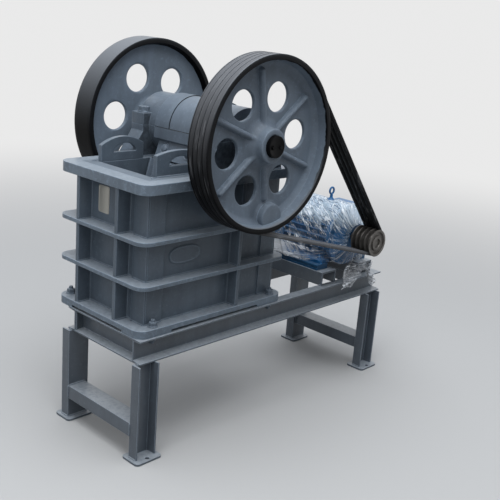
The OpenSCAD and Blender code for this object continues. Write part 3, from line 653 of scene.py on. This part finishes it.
def wedge_outline():
    """Outline of one sixth of the web about +X, symmetric, evenly stepped; also the angles of
    its points on the inner and on the outer arc."""
    inner = np.radians(np.linspace(-30, 30, 17))
    outer = np.radians(np.linspace(30, -30, 71))
    side = np.linspace(FIELD_IN, FIELD_OUT, 54)[1:-1]
    edge = np.radians(30)
    points = np.concatenate([
        np.stack([FIELD_IN * np.cos(inner), FIELD_IN * np.sin(inner)], 1),
        np.stack([side * np.cos(edge), side * np.sin(edge)], 1),
        np.stack([FIELD_OUT * np.cos(outer), FIELD_OUT * np.sin(outer)], 1),
        np.stack([side[::-1] * np.cos(edge), -side[::-1] * np.sin(edge)], 1)])
    return points, inner[:-1], outer[::-1][:-1]


def flywheel_parts(phase, side, grooved):
    """Shells of one wheel. Each window is ringed by a grid whose rows run from its edge to the
    wedge's outline; rings of constant angle carry the rim and the hub on from there."""
    outline, inner, outer = wedge_outline()
    middle = np.array((HOLE_PITCH, 0.0))
    away = outline - middle
    edge = middle + HOLE_R * away / np.linalg.norm(away, axis=1, keepdims=True)
    parts = []

    def wheel_space(x, z, depth):
        """Wheel millimetres to metres in the frame; side is -1 for the belt side."""
        place = [AXLE[0] + x / 1000, side * (WHEEL_FACE - depth / 1000), AXLE[1] + z / 1000]
        return np.stack(np.broadcast_arrays(*place), axis=-1).reshape(-1, 3)

    for k in range(6):
        a = np.radians(phase + 60 * k)
        for rows, face in ((34, web_front), (8, web_back)):
            t = (np.linspace(0, 1, rows) ** 1.25)[:, None, None]
            flat = edge * (1 - t) + outline * t
            x, z = turned_by(flat[..., 0], flat[..., 1], a)
            faces = grid_faces(rows, len(outline), close_cols=True)
            parts.append((wheel_space(x, z, face(x, z, phase)), faces))
        x, z = turned_by(edge[:, 0], edge[:, 1], a)
        t = np.linspace(0, 1, 4)[:, None]
        depth = web_front(x, z, phase) * (1 - t) + web_back(x, z, phase) * t
        faces = grid_faces(4, len(outline), close_cols=True)
        parts.append((wheel_space(x, z, depth), faces))

    def stack(layers):
        """One shell of closed rings of points."""
        faces = grid_faces(len(layers), len(layers[0]), close_cols=True)
        parts.append((np.concatenate(layers), faces))

    def rings(angles, rows):
        """Rings of (radius, depth); a depth may follow the web's face at that radius."""
        turn = np.concatenate([np.radians(phase + 60 * k) + angles for k in range(6)])
        layers = []
        for radius, depth in rows:
            x, z = radius * np.cos(turn), radius * np.sin(turn)
            layers.append(wheel_space(x, z, depth(x, z, phase) if callable(depth) else depth))
        stack(layers)

    rim = [(FIELD_OUT, web_front), (325.3, web_front), (328.5, web_front), (329.6, 38), (331, 28),
           (332.4, 17), (333.6, 8), (334.4, 3.4), (335.2, 1.2), (336.8, 0), (345, 0), (354.6, 0),
           (356.8, 0.7), (357.5, 2.8)]
    if grooved:
        for at in GROOVES:
            rim += [(WHEEL_R, at - 11.2), (WHEEL_R - 18, at - 5.0),
                    (WHEEL_R - 18, at + 5.0), (WHEEL_R, at + 11.2)]
    else:
        rim += [(WHEEL_R, 20), (WHEEL_R, 55), (WHEEL_R, 90)]
    rim += [(357.5, 107.7), (356.8, 109.8), (354.6, 110.5), (345, 110.5), (336.5, 110.5),
            (335.2, 109.6), (334.4, 107.5), (332.2, 101), (330.4, 94), (328.6, 89),
            (325.5, web_back), (FIELD_OUT, web_back)]
    rings(outer, rim)
    # Balance boss: a tapered round block that runs into the rim's inner wall.
    turn, a = np.linspace(0, 2 * np.pi, 96, endpoint=False), np.radians(phase + BOSS_TURN)
    layers = []
    for out, depth in ((61.5, 64), (60, 50), (58.4, 32), (57.6, 28.6), (55.8, 26.8), (53, 26),
                       (48, 26), (24, 26), (0.5, 26)):
        x = BOSS_AT * np.cos(a) + out * np.cos(turn)
        z = BOSS_AT * np.sin(a) + out * np.sin(turn)
        held = np.minimum(1, 333 / np.hypot(x, z))
        layers.append(wheel_space(x * held, z * held, depth))
    stack(layers)
    rings(inner, [(FIELD_IN, web_front), (70.6, 20), (69.6, 7), (69, 1.2), (67.6, -1.6), (65, -3),
                  (57, -3), (48.6, -3), (47, -1.6), (45, -1.6), (45, 50), (45, 105), (60, 105),
                  (67.5, 105), (69.6, 104), (71, 101), (FIELD_IN, web_back)])
    return parts


def black_rim(tree, place):
    """Mask of the black paint, brushed on by hand: from radius 0.335 m outwards on the belt
    side's wheel, and 7 mm further in on the other one."""
    local = vector_step(tree, "ADD", place, (-float(AXLE[0]), 0, -float(AXLE[1])))[0]
    flat = vector_step(tree, "MULTIPLY", local, (1, 0, 1))[0]
    radius = vector_step(tree, "LENGTH", flat)["Value"]
    edge = reckon(tree, "MULTIPLY_ADD", noise(tree, place, 22.0, 3.0), 0.004, radius)
    far = reckon(tree, "GREATER_THAN", axes_of(tree, place)[1], 0.0)
    mask = remap(tree, reckon(tree, "MULTIPLY_ADD", far, 0.007, edge), 0.3352, 0.3358)
    # The black pales on faces turned up: dusty, and with a painted sheen of the sky.
    return mask, dust_and_sky_sheen_up(tree, (0.003, 0.003, 0.0035, 1), (0.15, 0.16, 0.175, 1))


wheel_paint = machine_paint("wheel_paint", (0.145, 0.18, 0.223, 1), grain=0.22, dust_and_top_light=0.1,
                            specular=0.22, overlay=black_rim)
near_wheel = shell_object("flywheel_belt_side", flywheel_parts(68.1, -1, True), wheel_paint,
                          "rotor", sharp=32)
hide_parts("flywheel_near")
far_wheel = shell_object("flywheel_plain", flywheel_parts(54.3, 1, False), wheel_paint,
                         "rotor", sharp=32)
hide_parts("flywheel_far")

# Belts
# Four wrapped V belts of black rubber with a fabric skin, lying flush in the grooves.
belt_rubber, tree, place = make_material("belt_rubber")
wipe = noise(tree, place, 9.0, 5.0)
tone = blend(tree, wipe, (0.003, 0.003, 0.0035, 1), (0.014, 0.0145, 0.016, 1))
# The belts pale towards grey on faces turned up: dusty, and with a painted sheen of the sky.
tone = dust_and_sky_sheen_up(tree, tone, (0.12, 0.124, 0.134, 1), low=-0.35)
streaks = noise(tree, drawn_out(tree, place, Scale=(9, 110, 9)), 1.0, 5.0, 0.65)
tone = blend(tree, remap(tree, streaks, 0.56, 0.7, last=0.6), tone, (0.22, 0.225, 0.235, 1))
surface(tree, tone, remap(tree, wipe, 0, 1, 0.22, 0.6), specular=0.1,
        Normal=bumps(tree, noise(tree, place, 420.0, 2.0), 0.25, 0.0005))
MOTOR_X, MOTOR_Z = 0.5565, 0.7365
PULLEY_AT, PULLEY_R = np.array((MOTOR_X, MOTOR_Z)), 0.06625
WHEEL_STEPS, PULLEY_STEPS = 150, 40


def belt_loop(at):
    """One belt whose section, a trapezoid with rounded corners, is carried round the wheel's
    arc, down the lower run, round the pulley's arc and back up: a closed grid."""
    run = PULLEY_AT - AXLE
    span, tilt = np.hypot(*run), np.arctan2(run[1], run[0])
    opening = np.arccos((WHEEL_R / 1000 - PULLEY_R) / span)
    turns = np.concatenate([np.linspace(opening, 2 * np.pi - opening, WHEEL_STEPS),
                            np.linspace(-opening, opening, PULLEY_STEPS)])
    at_pulley = np.arange(len(turns)) >= WHEEL_STEPS
    centre = np.where(at_pulley[:, None], PULLEY_AT, AXLE)
    radius = np.where(at_pulley, PULLEY_R, WHEEL_R / 1000) - 0.001
    section = np.array([(0, 0.0094), (-0.0004, 0.0104), (-0.0018, 0.0104), (-0.0128, 0.0062),
                        (-0.0138, 0.0052), (-0.014, 0.004)])
    section = np.concatenate([section, section[::-1] * (1, -1)])
    out = radius[:, None] + section[:, 0]
    a = (turns + tilt)[:, None]
    x, z = centre[:, :1] + out * np.cos(a), centre[:, 1:] + out * np.sin(a)
    y = np.broadcast_to(at + section[:, 1], x.shape)
    points = np.stack([x, y, z], axis=-1).reshape(-1, 3)
    return points, grid_faces(len(turns), len(section), close_rows=True, close_cols=True)


belts = shell_object("belts", [belt_loop(at / 1000 - WHEEL_FACE) for at in GROOVES],
                     belt_rubber, "frame", sharp=60)
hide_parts("v_belts")

# Rear tension rod
# A threaded rod pulls the swing jaw back against its toggle plate through a coil spring.
oiled_steel, tree, place = make_material("oiled_steel")
smear = noise(tree, place, 55.0, 5.0)
tone = blend(tree, smear, (0.06, 0.058, 0.055, 1), (0.2, 0.19, 0.18, 1))
surface(tree, tone, remap(tree, smear, 0, 1, 0.28, 0.5), metal=0.8)
finish_nodes(oiled_steel, "toggle_plate")
ROD_X, ROD_Z = 0.0125, 0.59


def coil(start, length, radius, wire, turns):
    """A helix along X: centre at angle a is radius (cos a, sin a) and advances evenly, with a
    ring of ten points of the wire's radius square to it."""
    a = np.linspace(0, 2 * np.pi * turns, int(36 * turns))[:, None]
    w = np.arange(10) * np.pi / 5
    out = radius + wire * np.cos(w)
    x = start + length * a / a[-1] + wire * np.sin(w)
    points = np.stack([x, out * np.cos(a), ROD_Z + out * np.sin(a)], axis=-1)
    tips = [np.repeat(row.mean(axis=0)[None], 10, axis=0) for row in (points[0], points[-1])]
    points = np.concatenate([tips[0][None], points, tips[1][None]])
    return points.reshape(-1, 3), grid_faces(len(points), 10, close_cols=True)


thread = [(0.01 - 0.0008 * (k % 2), -0.06 + k * 0.0015) for k in range(116)]
DISC = [(0, 0), (0.033, 0), (0.034, 0.001), (0.034, 0.007), (0.033, 0.008), (0, 0.008)]
rod = [turned([(0, -0.07), (0.01, -0.07), *thread, (0.009, 0.119), (0, 0.12)],
              (ROD_X, 0, ROD_Z), (1, 0, 0), 24),
       turned(DISC, (ROD_X, 0, ROD_Z), (1, 0, 0), 48),
       turned(DISC, (ROD_X + 0.078, 0, ROD_Z), (1, 0, 0), 48),
       coil(ROD_X + 0.0125, 0.061, 0.0245, 0.0045, 5.0)]
rod += hex_bolt((ROD_X + 0.086, 0, ROD_Z), (1, 0, 0), 0.031, 0.016)
tension = shell_object("tension_rod", rod, oiled_steel, "frame")
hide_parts("tension_spring")

# Motor
# Blue enamelled electric motor with a finned cast frame on folded slide rails, bolted to
# the two cross channels, with a lifting eye on top and a pressed fan cover.
motor_paint = machine_paint("motor_paint", (0.012, 0.1, 0.25, 1), grain=0.08, dust_and_top_light=0.2, gloss=0.34)
rail_paint = machine_paint("rail_paint", (0.009, 0.066, 0.15, 1), grain=0.05, dust_and_top_light=0.1, gloss=0.34)
finish_nodes(motor_paint, "motor_body", "fan_cover")
finish_nodes(rail_paint, "motor_rails")
EYE_Y, EYE_FOOT = -0.112, MOTOR_Z + 0.147
a = np.linspace(0, 2 * np.pi, 40, endpoint=False)[:, None]
w = np.arange(14) * 2 * np.pi / 14
out = 0.016 + 0.005 * np.cos(w)
ring = np.stack([out * np.cos(a), 0.005 * np.sin(w) + 0 * a, out * np.sin(a)], axis=-1)
eye = [(ring.reshape(-1, 3) + (MOTOR_X, EYE_Y, MOTOR_Z + 0.197),
        grid_faces(40, 14, close_rows=True, close_cols=True)),
       turned([(0, 0), (0.018, 0), (0.0185, 0.005), (0.014, 0.009), (0.008, 0.016),
               (0.0065, 0.034), (0, 0.034)], (MOTOR_X, EYE_Y, EYE_FOOT), (0, 0, 1), 28),
       turned([(0, -0.03), (0.008, -0.03), (0.008, 0), (0, 0)],
              (MOTOR_X, EYE_Y, MOTOR_Z + 0.149), (0, 0, 1), 20)]
shell_object("lifting_eye", eye, motor_paint, "frame")

parts = []
for side in (-1, 1):
    for y in (-0.185, 0.035):
        parts += hex_bolt((MOTOR_X + side * 0.14, y, 0.6205), (0, 0, 1), 0.019, 0.009,
                          washer=0.013, stud=0.008)
    for y in (-0.205, 0.105):
        parts += hex_bolt((MOTOR_X + side * 0.155, y, 0.6045), (0, 0, 1), 0.019, 0.009,
                          washer=0.013, stud=0.006)
for turn in np.radians(np.arange(45, 360, 90)):
    foot = (MOTOR_X + 0.139 * np.cos(turn), -0.24, MOTOR_Z + 0.139 * np.sin(turn))
    parts += hex_bolt(foot, (0, -1, 0), 0.013, 0.006)
for y, z in ((-0.14, 0.7865), (-0.03, 0.7865), (-0.14, 0.8465), (-0.03, 0.8465)):
    parts += hex_bolt((MOTOR_X + 0.19, y, z), (1, 0, 0), 0.01, 0.004)
shell_object("motor_bolts", parts, motor_paint, "frame")

# Film round the motor
# Clear stretch film wrapped round the new motor: milky in the layers on top, clear on the
# flank with painted white highlights along its creases, grey and drawn along the shaft where
# it hangs over the front rail, with its loose end crumpled over the stand.
film_plastic, tree, place = make_material("film_plastic")
laid = add_node(tree, "ShaderNodeUVMap", uv_map="film").outputs[0]
FILM_LEAN, FILM_LEVEL = 2.5, 0.06


def film_noise(turn, along, over, detail, rough, **more):
    """Noise on the film's own sheet, drawn out along one direction."""
    drawn = add_node(tree, "ShaderNodeMapping", {
        "Vector": laid, "Rotation": (0, 0, turn), "Scale": (along, over, 1)}, vector_type="TEXTURE")
    return noise(tree, drawn.outputs[0], 1.0, detail, rough, **more)


def creases(turn, along, over, wide):
    """Thin long lines in the film: where its noise crosses 0.5."""
    drawn = film_noise(turn, along, over, 2.0, 0.45, Distortion=0.4)
    off = reckon(tree, "ABSOLUTE", reckon(tree, "SUBTRACT", drawn, 0.5))
    return remap(tree, off, 0.0, wide, 1.0, 0.0)


def film_mix(amount, first, second):
    """A value that goes from first to second as the amount goes from 0 to 1."""
    return add_node(tree, "ShaderNodeMix", {0: amount, 2: first, 3: second}).outputs[0]


_, y_at, z_at = axes_of(tree, place)
low_down = remap(tree, z_at, 0.7, 0.66, kind="SMOOTHSTEP")
steep = creases(FILM_LEAN, 0.2, 0.026, 0.022)
crossing = creases(FILM_LEAN - 0.6, 0.12, 0.02, 0.014)
# The creases are painted as white highlights along the film's folds.
crease_highlights = film_mix(low_down, reckon(tree, "MAXIMUM", steep, crossing),
                 creases(FILM_LEVEL, 0.4, 0.022, 0.03))
clouds = film_mix(low_down, film_noise(FILM_LEAN, 0.14, 0.035, 4.0, 0.6),
                  film_noise(FILM_LEVEL, 0.3, 0.016, 4.0, 0.6))
top = remap(tree, z_at, 0.765, 0.84, last=0.75, kind="SMOOTHSTEP")
gathered = remap(tree, y_at, -0.25, -0.29, last=0.22)
far_end = remap(tree, y_at, -0.17, 0.03, 0.12, 0.85)
loose_end = remap(tree, y_at, -0.293, -0.303, last=0.3)
milk = remap(tree, clouds, 0.52, 0.74, last=0.36)
for layer in (top, gathered, reckon(tree, "MULTIPLY", low_down, far_end), loose_end):
    milk = reckon(tree, "ADD", milk, layer)
shade = creases(FILM_LEAN + 0.35, 0.09, 0.018, 0.05)
milk = reckon(tree, "MULTIPLY_ADD", shade, -0.5, milk)
cover = reckon(tree, "MULTIPLY_ADD", crease_highlights, remap(tree, z_at, 0.72, 0.8, 0.52, 0.75), milk)
tone = blend(tree, clouds, (0.3, 0.44, 0.58, 1), (0.68, 0.76, 0.84, 1))
tone = blend(tree, low_down, tone, (0.55, 0.57, 0.6, 1))
tone = blend(tree, crease_highlights, tone, (0.86, 0.9, 0.94, 1))
bump = bumps(tree, crease_highlights, 0.6, 0.003, Normal=bumps(tree, clouds, 0.7, 0.008))
surface(tree, tone, 0.15, specular=0.6, Alpha=remap(tree, cover, 0, 1, 0.02, 0.94), Normal=bump)


def film_wrap(rows=180, cols=300):
    """Sheet round the motor's axis: at y along it and angle a its radius follows the housing,
    is drawn in to the shaft above and left hanging below at the belt side, and takes ridges
    (1 - |sin q|)^3 whose q = (k a + m y) / 2. On the feed side, at an angle b below level, it
    hangs straight down to (-0.178, -0.126) over the front rail and runs back level from there."""
    y = np.linspace(-0.294, 0.182, rows)[:, None]
    a = np.linspace(-np.pi / 2, 1.5 * np.pi, cols)[None, :]
    shoulder = np.clip((-0.236 - y) / 0.058, 0, 1) ** 1.4
    kept = 0.85 * ease(0.05, 0.75, -np.sin(a)) * ease(-0.294, -0.272, y)
    body = 0.152 - 0.092 * shoulder * (1 - kept)
    ends = ease(-0.262, -0.17, y) * (1 - ease(0.12, 0.178, y))
    b = np.clip(a - np.pi, 1e-3, np.radians(57))
    to_rail = 0.126 - 0.026 * np.tan(b)
    t = np.where(to_rail > 1e-3, np.minimum(1, 0.152 * np.tan(b) / np.maximum(to_rail, 1e-3)), 1)
    hung = np.where(t < 1, np.hypot(0.152 + 0.026 * t, 0.126 * t), 0.126 / np.sin(b)) - 0.152
    reach = ease(-0.235, -0.12, y) * (1 - ease(0.13, 0.178, y))
    bag = np.maximum(hung * np.where(a > np.pi, reach, 0), 0) + 0.008 * np.clip(-np.sin(a), 0, 1)
    swell = np.exp(-((a - np.radians(214)) / np.radians(24)) ** 2)
    bag = bag + 0.02 * swell * ends * (1 - reach)
    ridges = sum(
        high * (1 - np.abs(np.sin((k * a + m * y + bend * np.sin(3 * a + 25 * y)) / 2))) ** 3
        for high, k, m, bend in ((0.0045, 9, 44, 1.6), (0.003, 14, 70, 1.1),
                                 (0.002, 22, 105, 2.0), (0.0025, 5, -46, 2.4)))
    pleat = 0.005 * np.abs(np.sin(16 * a + 6 * np.sin(2 * a))) * shoulder
    radius = body + bag + ridges + pleat
    floor_z = MOTOR_Z - 0.1315 + 0.002 * np.sin(30 * y + 5 * a)
    z = MOTOR_Z + radius * np.sin(a) * np.where(np.sin(a) < -0.6, 0.95, 1.0)
    x = MOTOR_X + radius * np.cos(a) * (1 + 0.12 * ease(-0.1, 0.5, -np.sin(a)))
    return x, y, np.maximum(z, floor_z), y, 0.15 * a


def film_tail(rows=70, cols=150):
    """Loose end: hangs from a nearly level upper edge by a length that is shortest in the
    middle, runs out over the beam's flange as t grows, and is crumpled by the same ridges."""
    t = np.linspace(0, 1, rows)[:, None]
    u = np.linspace(-1, 1, cols)[None, :]
    drop = 0.046 + 0.068 * ease(0.15, 0.55, np.abs(u - 0.1))
    x = 0.605 + 0.107 * u - 0.07 * t * ease(0, 0.8, -u) + 0.01 * np.sin(5 * t + 3 * u)
    fold = sum(high * (1 - np.abs(np.sin(p * u + q * t + 2 * np.sin(4 * t - 3 * u)))) ** 2
               for high, p, q in ((0.012, 6, 3), (0.008, -9, 7), (0.005, 15, 11)))
    z = 0.606 - 0.022 * ease(0, 1, u) + 0.006 * np.sin(7 * u) - drop * t + 0.5 * fold * (t - 0.3)
    y = -0.292 - 0.024 * ease(0.2, 0.8, t) - fold
    return x, y, z, x + 0.3 * y, z + 0.5 * y


for name, shape, long in (("film_wrap", film_wrap, 0.476), ("film_tail", film_tail, 0.12)):
    grid = np.stack(np.broadcast_arrays(*shape()), axis=-1)
    rows, cols = grid.shape[:2]
    grid = grid.reshape(-1, 5)
    film = mesh_object(name, grid[:, :3], grid_faces(rows, cols))
    corners = np.zeros(len(film.data.loops), int)
    film.data.loops.foreach_get("vertex_index", corners)
    film.data.uv_layers.new(name="film").data.foreach_set("uv", grid[corners, 3:].ravel())
    film.data.materials.append(film_plastic)
    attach(film, "frame")

# Fan cover grille
# Pressed ring of slots in the end of the cover, drawn as thin near-black patches: painted shade
# where the openings show the dark inside.
slot_painted_shade, tree, place = make_material("slot_painted_shade")
shade_mottle = noise(tree, place, 80.0, 3.0)
surface(tree, blend(tree, shade_mottle, (0.004, 0.005, 0.007, 1), (0.014, 0.015, 0.018, 1)), 0.8)
# Each slot is a near-black patch of painted shade, a little uneven in tone.
slots = []
for radius, count in ((0.03, 6), (0.048, 10), (0.066, 14), (0.084, 18)):
    for t in np.arange(count) * 2 * np.pi / count:
        centre = np.array((MOTOR_X + radius * np.cos(t), 0.19, MOTOR_Z + radius * np.sin(t)))
        slots.append(swept_plate(rounded_outline(0.013, 0.0085, 2.0, 20), (0, 1, 0), centre,
                                 [(0, -0.001), (0, 0.0002), (0.001, 0.0003)]))
shell_object("fan_grille", slots, slot_painted_shade, "frame")

# Motor pulley
# Turned iron pulley left bare, keyed on the motor's shaft end.
pulley_iron, tree, place = make_material("pulley_iron")
local = drawn_out(tree, place, Location=(-MOTOR_X, 0, -MOTOR_Z))
lathe_marks = add_node(tree, "ShaderNodeTexWave", {
    "Vector": local, "Scale": 180.0, "Distortion": 1.5}, wave_type="RINGS", rings_direction="Y")
stain = noise(tree, place, 35.0, 6.0)
tone = blend(tree, stain, (0.05, 0.044, 0.038, 1), (0.2, 0.19, 0.18, 1))
surface(tree, tone, remap(tree, stain, 0, 1, 0.3, 0.55), metal=0.75,
        Normal=bumps(tree, lathe_marks.outputs["Fac"], 0.3, 0.0003))
profile = [(0, 0.006), (0.0195, 0.006), (0.021, 0.0065), (0.0215, 0.003), (0.023, 0), (0.0345, 0),
           (0.036, 0.0015), (0.037, 0.008), (0.0385, 0.0095), (0.052, 0.0095), (0.0535, 0.008),
           (0.0545, 0.0015), (0.056, 0), (0.065, 0), (PULLEY_R, 0.0012)]
for at in GROOVES:
    at = at / 1000
    profile += [(PULLEY_R, at - 0.0112), (PULLEY_R - 0.018, at - 0.005),
                (PULLEY_R - 0.018, at + 0.005), (PULLEY_R, at + 0.0112)]
profile += [(PULLEY_R, 0.1093), (0.065, 0.1105), (0.021, 0.1105), (0.021, 0.236), (0, 0.236)]
key = np.array([(x, y, z) for y in (0.004, 0.03) for x, z in (
    (-0.005, 0.0175), (0.005, 0.0175), (0.005, 0.0255), (-0.005, 0.0255))])
key_faces = grid_faces(2, 4, close_cols=True).tolist() + [[0, 1, 2, 3], [7, 6, 5, 4]]
pulley_place = (MOTOR_X, -WHEEL_FACE, MOTOR_Z)
pulley = shell_object("pulley", [turned(profile, pulley_place, (0, 1, 0), 72),
                                 (key + pulley_place, key_faces)],
                      pulley_iron, "motor_rotor", sharp=30)
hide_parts("motor_pulley")
